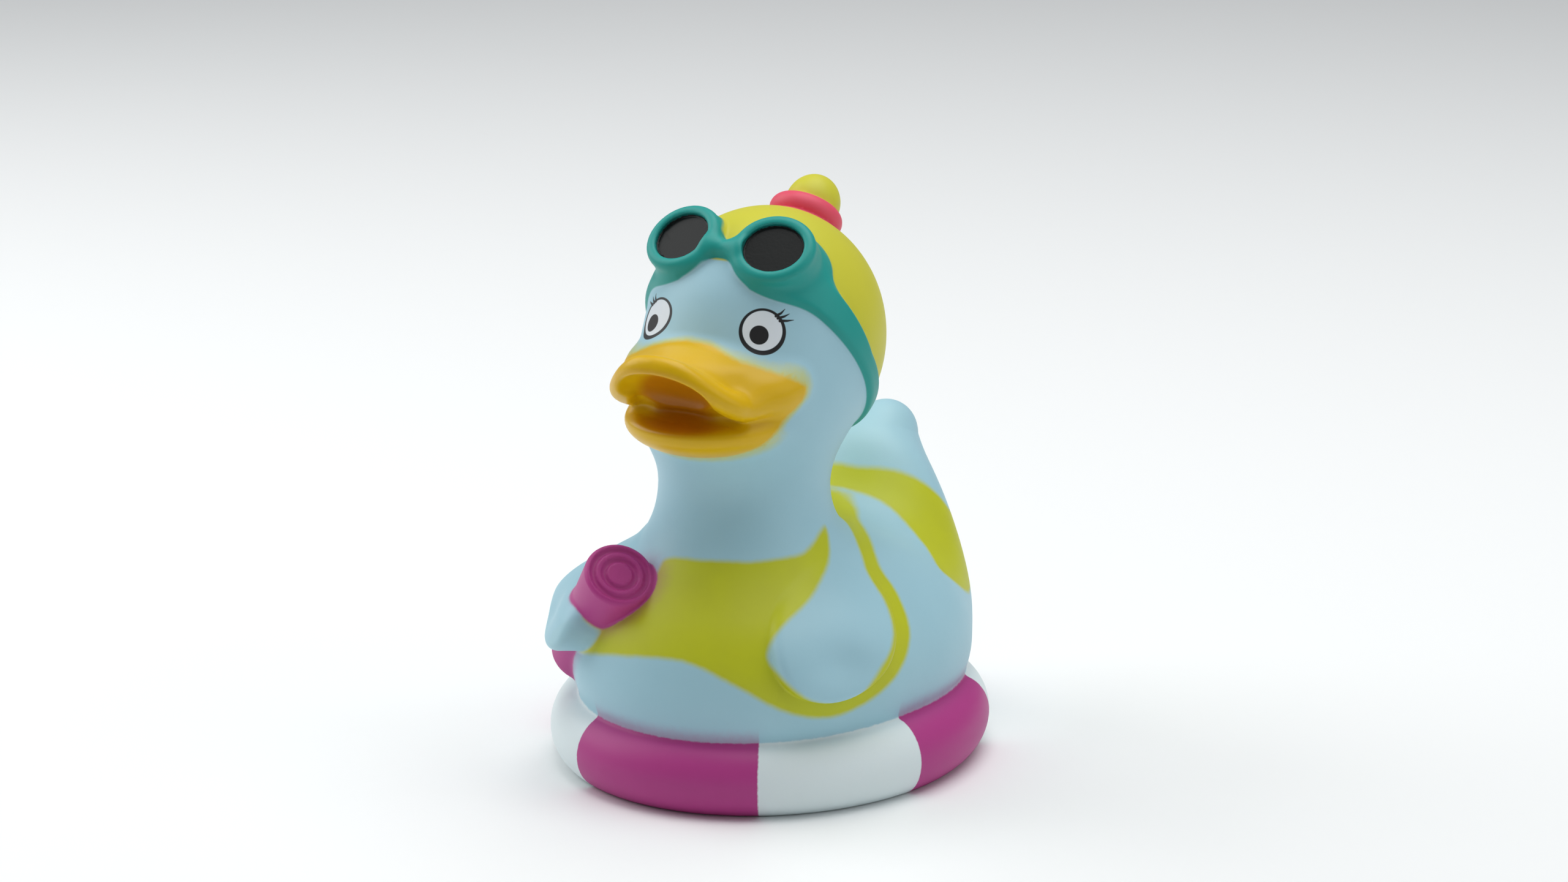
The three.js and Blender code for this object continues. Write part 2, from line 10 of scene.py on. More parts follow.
import bpy
import numpy as np
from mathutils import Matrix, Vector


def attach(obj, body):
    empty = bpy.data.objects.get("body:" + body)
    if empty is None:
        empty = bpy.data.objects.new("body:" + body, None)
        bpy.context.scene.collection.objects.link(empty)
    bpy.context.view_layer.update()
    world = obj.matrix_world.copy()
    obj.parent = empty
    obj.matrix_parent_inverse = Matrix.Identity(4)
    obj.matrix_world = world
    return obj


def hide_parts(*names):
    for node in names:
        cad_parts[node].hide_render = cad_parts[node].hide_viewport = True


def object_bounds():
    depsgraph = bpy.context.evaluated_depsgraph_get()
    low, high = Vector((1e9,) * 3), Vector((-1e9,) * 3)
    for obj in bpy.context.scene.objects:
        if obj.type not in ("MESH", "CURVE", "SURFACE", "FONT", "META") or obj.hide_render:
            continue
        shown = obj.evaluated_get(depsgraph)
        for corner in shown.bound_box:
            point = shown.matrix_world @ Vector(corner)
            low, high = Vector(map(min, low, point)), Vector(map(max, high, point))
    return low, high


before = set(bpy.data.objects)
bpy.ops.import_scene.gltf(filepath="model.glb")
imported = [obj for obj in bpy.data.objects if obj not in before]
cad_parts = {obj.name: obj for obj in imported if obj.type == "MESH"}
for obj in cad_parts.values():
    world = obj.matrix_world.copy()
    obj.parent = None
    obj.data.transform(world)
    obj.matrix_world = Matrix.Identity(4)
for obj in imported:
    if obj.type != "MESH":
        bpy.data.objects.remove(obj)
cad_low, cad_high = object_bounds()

import openvdb
from mathutils import Matrix, Vector

MM = 0.001

# Driving dimensions, lengths in mm and angles in degrees
WALL = 2.2
VENT_DIAMETER = 3.0
RING = dict(width=58.6, length=65.6, height=10.0, tube=9.6, back=0.4, sunk=0.6)
FLOOR = dict(recess=1.2, inset=1.2, top=5.0)
BELLY = dict(half=(25.6, 30.9, 18.0), centre=(0, 2.1, 14.5))
CHEST = dict(half=(20.3, 18.4, 15.0), centre=(0, -9.5, 17.0))
NECK = dict(low=(0, -7.2, 30.0), high=(0, -6.3, 48.0), radius=11.8, top=11.4)
HEAD = dict(half=(15.9, 17.6, 17.6), centre=(0, -1.0, 58.6))
MUZZLE = dict(half=(12.4, 12.0, 9.6), centre=(0, -10.4, 51.0))
TAIL = dict(half=(14.3, 9.5, 19.8), centre=(0, 25.1, 20.0), lean=6)
TAIL_TIP = dict(low=(0, 26.9, 22.0), high=(0, 33.3, 37.6), root=9.8, radius=4.1)
BILL_ROOT = dict(half=(12.4, 9.5, 4.9), centre=(0, -14.2, 56.2))
SNOUT = dict(half=(7.0, 11.2, 3.5), centre=(0, -19.4, 57.1), rise=8)
LOWER_BILL = dict(half=(11.4, 11.8, 4.6), centre=(0, -15.3, 50.5), edge=1.2)
OUTER_LIP = [
    (0, -29.2, 60.9), (2.8, -29.0, 60.4), (5.2, -28.0, 58.7), (7.1, -26.4, 56.9), (8.5, -24.2, 55.3),
    (8.8, -21.8, 54.4), (9.6, -18.8, 54.6), (10.9, -16.0, 55.1), (11.6, -13.4, 56.3),
]
INNER_LIP = [
    (0, -28.7, 59.9), (2.5, -28.5, 59.4), (4.7, -27.5, 57.9), (6.5, -25.9, 56.1), (7.7, -23.9, 54.2),
    (8.9, -20.9, 53.1),
]
LIP_RADII = dict(outer=1.0, cheek=1.9, inner=0.7, corner=0.5)
LIP_REACH = 16
LOWER_LIP = dict(up=51.7, rise=3, rise_from=-22.5, rise_to=-19)
MOUTH = dict(half=(6.9, 6.4, 3.3), centre=(0, -28.3, 55.8), rise=22)
MOUTH_SLOT = dict(half=(7.4, 4.9, 1.3), centre=(0, -26.6, 52.7))
GOGGLE = dict(half=(5.6, 5.2), lens=(4.15, 3.75), depth=7.0, turn=14, up=47, centre=(7.0, -10.9, 73.4),
              flare=0.06, front=0.1, rim=1.3, foot=1, bezel=0.85, bezel_down=0.3,
              lens_down=0.3, lens_edge=0.2)
FLANGE = dict(outward=0.5, down=0.2, margin=0.6, reach=9)
BRIDGE = dict(low=(0, -11.8, 72.8), high=(2.4, -11.8, 73.0), radius=1.2)
STRAP = dict(width=3.0, thick=0.75, slope=51.7, offset=34.1, edge=1.0,
             widening=2.0, widens_from=1, widens_over=5, gap=7, gap_back=4, gap_closing=4)
POMPOM = dict(tilt=40.6, seat=(0, 9.2, 72.2), band=10.3, band_height=3.3, band_edge=1.5, band_sunk=0.6,
              dome=7.6, dome_sunk=0.4, height=7.2, lean=(0, 0.6, -0.2))
TOWEL = dict(front=(-8.3, -25.2, 30.2), along=(-10.9, 8.9, -14.4), radius=4.75, length=22.0, edge=0.7,
             turns=(0.45, 0.77), groove=0.4)
WING = dict(centre=(19.5, -16.0, 21.5), run=(-0.5, -0.866), half=(10.7, 7.4), middle=(-0.65, 2.06),
            droop=24.8, proud=2.3, edge=1.2, shoulder=(-3, 7), rear=(5, 12), rear_share=0.5)
HOLDING_WING = dict(WING, centre=(19.5, -16.0, 23.3), half=(12.5, 6.0), middle=(1.3, 2.2), proud=4.2)
DENT = dict(depth=1.1, ahead=1.5, down=3.2, half=(4.2, 2.8))

# Radii of the fillets where one form runs into another, or is cut into it
FILLET = dict(
    cheeks=7, chest=7, neck=7.5, tail=9, tail_tip=6, head=4, wing=0.4, towel=0.6, holding_wing=0.8,
    lips=0.5, snout=3.5, upper_lip=2.8, lower_bill=0.8, bill=1.6, mouth=0.6, mouth_slot=0.6,
    bezel=0.5, cup=1.0, flange=2.4, bridge=1.2, goggles=0.6, lens=0.25, groove=0.25,
    dome=0.4, pompom=0.4, ring=0.8, base=0.3, hollow_ring=3, hollow_floor=2, hollow=0.2)

# A distance larger than any on the duck, and one too small to matter
FAR = 50.0
TINY = 1e-9


def v3(values):
    """One point as a column, to go with arrays of points."""
    return np.array(values, float).reshape(3, 1)


def fillet(a, b, radius):
    """Two forms joined, with a fillet between them."""
    overlap = np.maximum(radius - np.abs(a - b), 0) / radius
    return np.minimum(a, b) - overlap * overlap * radius / 4


def trim(a, b, radius):
    """What two forms share, with a rounded edge."""
    return -fillet(-a, -b, radius)


def carve(a, b, radius):
    """The first form without the second, with a rounded edge."""
    return trim(a, -b, radius)


def smoothstep(value, low, high):
    """0 up to the low value, 1 from the high one."""
    t = np.clip((value - low) / (high - low), 0, 1)
    return t * t * (3 - 2 * t)


def ellipse(u, v, half_u, half_v):
    """Distance to an ellipse."""
    reach = np.hypot(u / half_u, v / half_v)
    slope = np.hypot(u / half_u ** 2, v / half_v ** 2) + TINY
    return reach * (reach - 1) / slope


def ellipsoid(p, form, rise=0):
    """Distance to an ellipsoid whose nose, towards -Y, is raised by some degrees."""
    x, y, z = p - v3(form["centre"])
    c, s = math.cos(math.radians(rise)), math.sin(math.radians(rise))
    q = np.array([x, y * c - z * s, y * s + z * c])
    half = v3(form["half"])
    reach = np.sqrt(((q / half) ** 2).sum(0))
    slope = np.sqrt(((q / half ** 2) ** 2).sum(0)) + TINY
    return reach * (reach - 1) / slope


def bar(p, low, high, radius, end_radius):
    """Distance to a round bar between two points, tapering between two radii."""
    low, high = v3(low), v3(high)
    along = high - low
    t = np.clip(((p - low) * along).sum(0) / (along ** 2).sum(), 0, 1)
    gap = p - low - along * t
    return np.sqrt((gap ** 2).sum(0)) - radius - (end_radius - radius) * t


def head_field(p):
    return fillet(ellipsoid(p, HEAD), ellipsoid(p, MUZZLE), FILLET["cheeks"])


def body_field(p):
    trunk = fillet(ellipsoid(p, BELLY), ellipsoid(p, CHEST), FILLET["chest"])
    neck = bar(p, NECK["low"], NECK["high"], NECK["radius"], NECK["top"])
    tip = bar(p, TAIL_TIP["low"], TAIL_TIP["high"], TAIL_TIP["root"], TAIL_TIP["radius"])
    trunk = fillet(trunk, neck, FILLET["neck"])
    trunk = fillet(trunk, ellipsoid(p, TAIL, TAIL["lean"]), FILLET["tail"])
    return fillet(trunk, tip, FILLET["tail_tip"])


def skin_field(p, skull):
    return fillet(body_field(p), skull, FILLET["head"])


def ring_field(p):
    x, y, z = p
    oval = RING["width"] / RING["length"]
    radial = np.hypot(x, (y - RING["back"]) * oval) - (RING["width"] - RING["tube"]) / 2
    half_height = (RING["height"] + RING["sunk"]) / 2
    return ellipse(radial, z - RING["height"] + half_height, RING["tube"] / 2, half_height)


def wing_field(p, skin, side, wing):
    """A drop lying along the flank: proud at its lower edge, running into the shoulder above."""
    x, y, z = p
    cx, cy, cz = wing["centre"]
    run_x, run_y = wing["run"]
    t = run_x * (x * side - cx) + run_y * (y - cy) - wing["middle"][0]
    v = z - cz - wing["middle"][1]
    c, s = math.cos(math.radians(wing["droop"])), math.sin(math.radians(wing["droop"]))
    outline = ellipse(t * c - v * s, t * s + v * c, *wing["half"])
    shoulder = 1 - smoothstep(v, *wing["shoulder"])
    rear_fade = 1 - wing["rear_share"] * smoothstep(-t, *wing["rear"])
    across, up = (t - DENT["ahead"]) / DENT["half"][0], (v + DENT["down"]) / DENT["half"][1]
    dent = DENT["depth"] * np.exp(-across ** 2 - up ** 2)
    form = trim(skin - wing["proud"] * shoulder * rear_fade + dent, outline, wing["edge"])
    return np.where(x * side > 0, form, FAR)


def mirror_half(p):
    return np.array([np.abs(p[0]), p[1], p[2]])


def tube(p, path, radius, end_radius):
    """A round bar along the curve through a path's points, tapering between two radii."""
    points = rounded(path, steps=4, closed=False)
    radii = np.linspace(radius, end_radius, len(points))
    made = np.full(p.shape[1], FAR)
    near = np.nonzero((np.abs(p - v3(points.mean(0))) < LIP_REACH).all(0))[0]
    close = p[:, near]
    field = np.full(len(near), FAR)
    for start, end, first, last in zip(points, points[1:], radii, radii[1:]):
        field = np.minimum(field, bar(close, start, end, first, last))
    made[near] = field
    return made


def lip_field(p):
    """The rolled upper lip: an outer roll round to the cheeks, and an inner one round the mouth."""
    mirrored = mirror_half(p)
    outer = tube(mirrored, OUTER_LIP, LIP_RADII["outer"], LIP_RADII["cheek"])
    inner = tube(mirrored, INNER_LIP, LIP_RADII["inner"], LIP_RADII["corner"])
    return fillet(outer, inner, FILLET["lips"])


def bill_field(p):
    upper = fillet(ellipsoid(p, BILL_ROOT), ellipsoid(p, SNOUT, SNOUT["rise"]), FILLET["snout"])
    upper = fillet(upper, lip_field(p), FILLET["upper_lip"])
    rise = LOWER_LIP["rise"] * smoothstep(p[1], LOWER_LIP["rise_from"], LOWER_LIP["rise_to"])
    lower = trim(ellipsoid(p, LOWER_BILL), p[2] - (LOWER_LIP["up"] + rise), LOWER_BILL["edge"])
    return fillet(upper, lower, FILLET["lower_bill"])


def mouth_field(p):
    return fillet(ellipsoid(p, MOUTH, MOUTH["rise"]), ellipsoid(p, MOUTH_SLOT), FILLET["mouth_slot"])


def local(p, origin, axes):
    """Coordinates along three axes from an origin."""
    gap = p - v3(origin)
    return [(gap * v3(axis)).sum(0) for axis in axes]


def lens_axes(turn, up):
    """Across, up along the lens, and out of it."""
    turn, up = math.radians(turn), math.radians(up)
    out = Vector((math.sin(turn) * math.cos(up), -math.cos(turn) * math.cos(up), math.sin(up)))
    across = Vector((0, 0, 1)).cross(out).normalized()
    return across, out.cross(across), out


GOGGLE_AXES = lens_axes(GOGGLE["turn"], GOGGLE["up"])


def strap_distance(p):
    """(Height over the strap's middle line, distance to its edges, which part towards the goggles)."""
    slope = math.radians(STRAP["slope"])
    height = math.sin(slope) * p[1] + math.cos(slope) * p[2] - STRAP["offset"]
    widening = STRAP["widening"] * np.clip((-p[1] - STRAP["widens_from"]) / STRAP["widens_over"], 0, 1)
    return height, np.abs(height - widening / 2) - (STRAP["width"] + widening) / 2


def strap_outline(p):
    """Distance to the edge of the strap and of the goggles' flanges, which flow into each other."""
    u, v, t = local(mirror_half(p), GOGGLE["centre"], GOGGLE_AXES)
    half_u, half_v = GOGGLE["half"]
    margin = FLANGE["margin"]
    flange = ellipse(u - FLANGE["outward"], v + FLANGE["down"], half_u + margin, half_v + margin)
    flange = np.maximum(flange, -t - FLANGE["reach"])
    behind = np.maximum(p[1] + STRAP["gap_back"], 0)
    between_goggles = STRAP["gap"] - np.abs(p[0]) - STRAP["gap_closing"] * behind
    strap = np.maximum(strap_distance(p)[1], between_goggles)
    return fillet(flange, strap, FILLET["flange"])


def bridge_field(mirrored):
    return bar(mirrored, BRIDGE["low"], BRIDGE["high"], BRIDGE["radius"], BRIDGE["radius"])


def goggles_field(p, skull):
    mirrored = mirror_half(p)
    u, v, t = local(mirrored, GOGGLE["centre"], GOGGLE_AXES)
    outer = ellipse(u, v, *GOGGLE["half"])
    cup = trim(outer + GOGGLE["flare"] * np.minimum(t, 0), t - GOGGLE["front"], GOGGLE["rim"])
    cup = trim(cup, -t - GOGGLE["depth"], GOGGLE["foot"])
    bezel = np.hypot(outer + GOGGLE["bezel"], t + GOGGLE["bezel_down"]) - GOGGLE["bezel"]
    cup = fillet(cup, bezel, FILLET["bezel"])
    strap = trim(skull - STRAP["thick"], strap_outline(p), STRAP["edge"])
    return fillet(fillet(cup, strap, FILLET["cup"]), bridge_field(mirrored), FILLET["bridge"])


def lens_pit(p):
    u, v, t = local(mirror_half(p), GOGGLE["centre"], GOGGLE_AXES)
    return trim(ellipse(u, v, *GOGGLE["lens"]), -t - GOGGLE["lens_down"], GOGGLE["lens_edge"])


def towel_coordinates(p):
    """(Distance along the roll from its front end, distance from its axis)."""
    axis = np.array(Vector(TOWEL["along"]).normalized()).reshape(3, 1)
    gap = p - v3(TOWEL["front"])
    t = (gap * axis).sum(0)
    return t, np.sqrt(np.maximum(((gap - axis * t) ** 2).sum(0), 0))


def towel_field(p):
    """The roll, with a rounded edge at each end and its turns as grooves in the front end."""
    t, r = towel_coordinates(p)
    edge, half = TOWEL["edge"], TOWEL["length"] / 2
    across = r - TOWEL["radius"] + edge
    ends = np.abs(t - half) - half + edge
    outside = np.hypot(np.maximum(across, 0), np.maximum(ends, 0))
    roll = outside + np.minimum(np.maximum(across, ends), 0) - edge
    for turn in TOWEL["turns"]:
        groove = np.hypot(r - turn * TOWEL["radius"], t) - TOWEL["groove"]
        roll = carve(roll, groove, FILLET["groove"])
    return roll


def pompom_coordinates(p):
    """(Height over the seat, distance from the axis)."""
    tilt = math.radians(POMPOM["tilt"])
    axis = v3((0, math.sin(tilt), math.cos(tilt)))
    gap = p - v3(POMPOM["seat"])
    t = (gap * axis).sum(0)
    return t, np.sqrt(np.maximum(((gap - axis * t) ** 2).sum(0), 0))


def pompom_field(p):
    t, r = pompom_coordinates(p)
    half, edge = POMPOM["band_height"] / 2, POMPOM["band_edge"]
    over_middle = t - half + POMPOM["band_sunk"]
    outer = POMPOM["band"] / 2 - edge
    band = ellipse(np.maximum(r - outer, 0), over_middle, edge, half)
    band = np.where(r < outer, np.abs(over_middle) - half, band)
    start = POMPOM["band_height"] - POMPOM["dome_sunk"]
    t, r = pompom_coordinates(p - v3(POMPOM["lean"]))
    dome = ellipse(r, t - start, POMPOM["dome"] / 2, POMPOM["height"] - start)
    return fillet(band, dome, FILLET["dome"])


def outer_field(p):
    skull = head_field(p)
    skin = skin_field(p, skull)
    form = fillet(skin, wing_field(p, skin, 1, WING), FILLET["wing"])
    form = fillet(form, towel_field(p), FILLET["towel"])
    form = fillet(form, wing_field(p, skin, -1, HOLDING_WING), FILLET["holding_wing"])
    form = carve(fillet(form, bill_field(p), FILLET["bill"]), mouth_field(p), FILLET["mouth"])
    form = fillet(form, pompom_field(p), FILLET["pompom"])
    form = carve(fillet(form, goggles_field(p, skull), FILLET["goggles"]), lens_pit(p), FILLET["lens"])
    return fillet(form, ring_field(p), FILLET["ring"])


def moulding_field(p):
    """The whole moulding: the outer form, hollow inside, with a flat base, a recess and a vent."""
    x, y, z = p
    oval = RING["width"] / RING["length"]
    in_ring = np.hypot(x, (y - RING["back"]) * oval) - (RING["width"] - RING["tube"]) / 2
    recess = np.maximum(in_ring + FLOOR["inset"], z - FLOOR["recess"])
    base = np.maximum(-z, -recess)
    plate = np.maximum(in_ring, np.abs(z - FLOOR["top"] / 2) - FLOOR["top"] / 2)
    solid = trim(np.minimum(outer_field(p), plate), base, FILLET["base"])
    core = fillet(skin_field(p, head_field(p)), ring_field(p), FILLET["hollow_ring"])
    hollow = trim(core + WALL, FLOOR["recess"] + WALL - z, FILLET["hollow_floor"])
    vent = np.maximum(np.hypot(x, y) - VENT_DIAMETER / 2, np.abs(z) - 2 * WALL - FLOOR["recess"])
    return carve(solid, np.minimum(hollow, vent), FILLET["hollow"])


# Meshing: sampled in blocks near the surface, and each vertex then settles on the field
BLOCK = 8
CELL = 0.3
TRIANGLES = 190_000
LOWEST, HIGHEST = v3((-34, -37, -2.0)), v3((34, 42, 82.0))
NEAR_BLOCKS = 1.6
BLOCKS_AT_ONCE = 400
FLATTEST_SLOPE = 0.05


def sampled(field, low, high, cell):
    """The field on a grid, its true value near the surface and one value for each block elsewhere."""
    blocks = np.ceil((high - low).ravel() / (BLOCK * cell)).astype(int)
    corners = np.indices(blocks).reshape(3, -1)
    size = BLOCK * cell
    rough = field(low + (corners + 0.5) * size)
    values = np.repeat(rough.astype(np.float32), BLOCK ** 3).reshape(-1, BLOCK ** 3)
    inner = (np.indices([BLOCK] * 3) * cell).reshape(3, 1, -1)
    near = np.nonzero(np.abs(rough) < NEAR_BLOCKS * size)[0]
    for part in np.array_split(near, max(1, len(near) // BLOCKS_AT_ONCE)):
        points = (low + corners[:, part] * size)[:, :, None] + inner
        values[part] = field(points.reshape(3, -1)).reshape(len(part), -1)
    values = values.reshape(*blocks, BLOCK, BLOCK, BLOCK)
    return values.transpose(0, 3, 1, 4, 2, 5).reshape(blocks * BLOCK)


def slope_of(field, p, step=0.02):
    return np.array([field(p + step * axis) - field(p - step * axis)
                     for axis in np.eye(3).reshape(3, 3, 1)]) / (2 * step)


def settle(field, p, most, rounds=2):
    """Moves points onto the surface along the field's slope."""
    for _ in range(rounds):
        slope = slope_of(field, p)
        move = field(p) / np.maximum((slope ** 2).sum(0), FLATTEST_SLOPE)
        p = p - slope * np.clip(move, -most, most)
    return p


def moulding_mesh():
    """The field's surface as a mesh, thinned to the limit of triangles."""
    grid = openvdb.FloatGrid(background=1.0)
    grid.copyFromArray(sampled(moulding_field, LOWEST, HIGHEST, CELL))
    points, quads = grid.convertToQuads()
    points = settle(moulding_field, LOWEST + points.T * CELL, CELL)
    mesh = bpy.data.meshes.new("fine")
    mesh.from_pydata(points.T, [], quads)
    fine = bpy.data.objects.new("fine", mesh)
    bpy.context.scene.collection.objects.link(fine)
    thin = fine.modifiers.new("thin", "DECIMATE")
    thin.ratio = min(1.0, TRIANGLES / (2 * len(quads)))
    bpy.context.view_layer.update()
    evaluated = fine.evaluated_get(bpy.context.evaluated_depsgraph_get())
    thinned = bpy.data.meshes.new_from_object(evaluated)
    bpy.data.objects.remove(fine)
    bpy.data.meshes.remove(mesh)
    return thinned


def vertices_of(mesh):
    places = np.empty(len(mesh.vertices) * 3, np.float32)
    mesh.vertices.foreach_get("co", places)
    return places.reshape(-1, 3).T.astype(float)


# Paint edges: closed outlines on the skin, through points in mm. The loop is the suit's strip behind the wing
LOOP = [
    (23.4, -13.0, 18.8), (23.3, -8.6, 22.3), (21.4, -5.8, 25.9), (18.6, -3.9, 28.9), (13.8, 1.3, 32.3),
    (10.3, 5.3, 33.4), (5.0, 10.5, 33.6), (0.0, 13.0, 33.8), (0.0, 15.4, 32.0), (5.3, 14.2, 31.3),
    (9.1, 10.1, 31.1), (17.3, 1.2, 29.3), (21.2, -1.0, 25.8), (24.3, -3.6, 20.6), (24.4, -9.2, 15.9),
]
SUIT_EDGE = [
    (-4.5, -22.3, 33.4), (1.2, -22.3, 34.0), (6.0, -21.0, 34.2), (9.6, -19, 34.3), (13.6, -13.1, 34.5),
    (13.4, -6.6, 36.6), (15.4, -8.9, 32.8), (16.2, -15.9, 28.7), (14.5, -21.9, 25.3), (13.9, -24.2, 22.5),
    (14.9, -24.2, 20.2), (18.4, -21.5, 16.3), (21.4, -16.9, 15.4), *LOOP,
    (20.8, -17.5, 13.0), (16.7, -23.3, 14.2), (10.8, -27.6, 18.2), (3.5, -29.4, 21.0), (-7.4, -28.7, 19.9),
    (-15.4, -24.5, 18.0), (-15.5, -23.0, 20.0), (-9.0, -25.5, 25.5), (-5.5, -24.0, 31.0),
]
LOOP_EDGE = [(20.9, -15.0, 14.8), *LOOP, (21.6, -15.0, 13.2)]
SEAT_EDGE = [
    (-4, 19.9, 35.6), (2.5, 20.2, 35.5), (7.9, 22.7, 34.9), (11.3, 25.6, 31.5), (12, 28.5, 27.5),
    (8, 33.0, 23.5), (0, 35.0, 22.5), (-4, 34.8, 22.5), (-4, 33.0, 16.0), (0, 33.2, 16.0), (10, 29.5, 16.5),
    (18.3, 22.0, 18.6), (19.1, 14.7, 24), (15.3, 16.4, 26.5), (8.7, 17.8, 30.5), (2.3, 17, 32.6),
    (-4, 17, 32.8),
]
BILL_EDGE = [
    (-2.5, -18.8, 61.8), (0, -18.9, 62.0), (2.5, -18.8, 61.8), (5.9, -18.3, 60.2), (9.8, -16.3, 58.7),
    (12.7, -13.4, 56.8), (13.1, -13.0, 55.4), (12.9, -13.8, 53.9), (12.2, -15.4, 52.3), (10, -18.2, 49.2),
    (6, -20.9, 47.4), (0.4, -22.4, 47.0), (-6, -20.9, 47.4), (-10, -18.2, 49.2), (-12.2, -15.4, 52.3),
    (-13.1, -13.0, 55.4), (-9.8, -16.3, 58.7),
]

# Where each outline is seen from, inside the duck, and in which direction
SUIT_VIEW = dict(centre=(0, -4, 16), towards=(0.55, -0.8, 0.25))
LOOP_VIEW = dict(centre=(0, -4, 16), towards=(0.8, -0.4, 0.3))
SEAT_VIEW = dict(centre=(0, 20, 8), towards=(0.2, 0.5, 1))
BILL_VIEW = dict(centre=(0, -4, 55), towards=(0, -1, 0))
POLE = 1.02

# Limits of paints that have no outline of their own, in mm
CAP_LOWEST = 42
STRAP_LOWEST = 40
SUIT_HIGHEST = 37.4
SUIT_REAR = 16.5
LENS_PAINT_DEPTH = 1.2
BAND_PAINT = dict(low=-0.7, high=2.7, radius=7)
BRIDGE_PAINT = dict(margin=0.2, fillet=1.5)
BILL_MARGIN = 0.2
# Painted shade inside the mouth: how far past the carved mouth it reaches, and how far off the lip rolls it
# keeps, in mm
MOUTH_SHADE_LIMITS = dict(margin=0.5, lip=0.5, lip_share=0.5)
RING_PAINT_REACH = 3

# The life ring's magenta stripes, in degrees from the front
STRIPES = [(-24, 27), (73, 122), (164, 205), (247, 288)]


def rounded(outline, steps=5, closed=True):
    """The curve through an outline's points."""
    points = np.array(outline, float)
    if closed:
        before, after, beyond = (np.roll(points, n, 0) for n in (1, -1, -2))
    else:
        padded = np.concatenate([points[:1], points, points[-1:]])
        before, points, after, beyond = padded[:-3], padded[1:-2], padded[2:-1], padded[3:]
    t = np.linspace(0, 1, steps, endpoint=False).reshape(-1, 1, 1)
    straight = 2 * points + (after - before) * t
    square = (2 * before - 5 * points + 4 * after - beyond) * t ** 2
    cube = (3 * points - before - 3 * after + beyond) * t ** 3
    return (0.5 * (straight + square + cube)).transpose(1, 0, 2).reshape(-1, 3)


def seen_from(p, centre, towards):
    """(Stereographic picture of points as seen from a centre, mm for each unit of it)."""
    towards = Vector(towards).normalized()
    across = Vector((0, 0, 1)).cross(towards).normalized()
    gap = p - v3(centre)
    reach = np.sqrt((gap ** 2).sum(0))
    u, v, t = [(gap * v3(axis)).sum(0) / reach for axis in (across, towards.cross(across), towards)]
    return np.array([u, v]) / (POLE + t), reach * (POLE + t)


def outlined(p, outline, centre, towards):
    """Distance to an outline on the skin, negative inside it, measured in its picture."""
    picture, scale = seen_from(p, centre, towards)
    curve = seen_from(rounded(outline).T, centre, towards)[0]
    nearest = np.full(p.shape[1], np.inf)
    inside = np.zeros(p.shape[1], bool)
    u, v = picture
    for (u0, v0), (u1, v1) in zip(curve.T, np.roll(curve, -1, 1).T):
        run, rise = u1 - u0, v1 - v0
        t = ((u - u0) * run + (v - v0) * rise) / (run * run + rise * rise + TINY ** 2)
        t = np.clip(t, 0, 1)
        nearest = np.minimum(nearest, np.hypot(u - u0 - run * t, v - v0 - rise * t))
        crosses = (v0 > v) != (v1 > v)
        inside ^= crosses & (u < u0 + run * (v - v0) / (rise if rise else TINY))
    return np.where(inside, -1, 1) * nearest * scale


def stripe_distance(p):
    """Distance along the life ring to its magenta stripes."""
    x, y, z = p
    angle = np.degrees(np.arctan2(x, -(y - RING["back"])))
    nearest = np.full(x.shape, np.inf)
    for start, end in STRIPES:
        off_middle = (angle - (start + end) / 2 + 180) % 360 - 180
        nearest = np.minimum(nearest, np.abs(off_middle) - (end - start) / 2)
    return np.radians(nearest) * RING["width"] / 2


def suit_distance(p):
    """Distance to the swimsuit's lime paint: the front with its loops, and the seat."""
    suit = outlined(p, SUIT_EDGE, **SUIT_VIEW)
    loop = outlined(p * v3((-1, 1, 1)), LOOP_EDGE, **LOOP_VIEW)
    seat = outlined(mirror_half(p), SEAT_EDGE, **SEAT_VIEW)
    beyond = np.maximum(p[2] - SUIT_HIGHEST, p[1] - SUIT_REAR)
    return np.minimum(np.maximum(np.minimum(suit, loop), beyond), seat)


def paint_distances(p):
    """Each paint's name, with the distance of every point to the paint's edge."""
    skull = head_field(p)
    skin = skin_field(p, skull)
    half = mirror_half(p)
    u, v, t = local(half, GOGGLE["centre"], GOGGLE_AXES)
    over_seat, from_axis = pompom_coordinates(p)
    along_roll, roll_radius = towel_coordinates(p)
    strap = np.maximum(strap_outline(p), STRAP_LOWEST - p[2])
    bridge = bridge_field(half) - BRIDGE_PAINT["margin"]
    band = np.maximum(BAND_PAINT["low"] - over_seat, over_seat - BAND_PAINT["high"])
    bill = outlined(p, BILL_EDGE, **BILL_VIEW)
    off_lip = MOUTH_SHADE_LIMITS["lip"] - MOUTH_SHADE_LIMITS["lip_share"] * lip_field(p)
    roll = np.maximum(roll_radius - TOWEL["radius"], -along_roll)
    return {
        "cap": np.maximum(-strap_distance(p)[0], CAP_LOWEST - p[2]),
        "goggles": fillet(strap, bridge, BRIDGE_PAINT["fillet"]),
        "lens": np.maximum(ellipse(u, v, *GOGGLE["lens"]), -t - LENS_PAINT_DEPTH),
        "band": np.maximum(band, from_axis - BAND_PAINT["radius"]),
        "bill": np.minimum(bill, bill_field(p) - BILL_MARGIN),
        "suit": suit_distance(p),
        "wing": wing_field(p, skin, -1, HOLDING_WING),
        "towel": np.maximum(roll, along_roll - TOWEL["length"]),
        "ring": ring_field(p) - np.minimum(skin, RING_PAINT_REACH),
        "stripe": stripe_distance(p),
        # Where the painted shade inside the mouth lies
        "mouth": np.maximum(mouth_field(p) - MOUTH_SHADE_LIMITS["margin"], off_lip),
    }


def srgb(red, green, blue):
    """A colour given as 0 to 255 on screen, as the linear values that a shader takes."""
    channels = [c / 255 for c in (red, green, blue)]
    return [c / 12.92 if c <= 0.04045 else ((c + 0.055) / 1.055) ** 2.4 for c in channels] + [1.0]


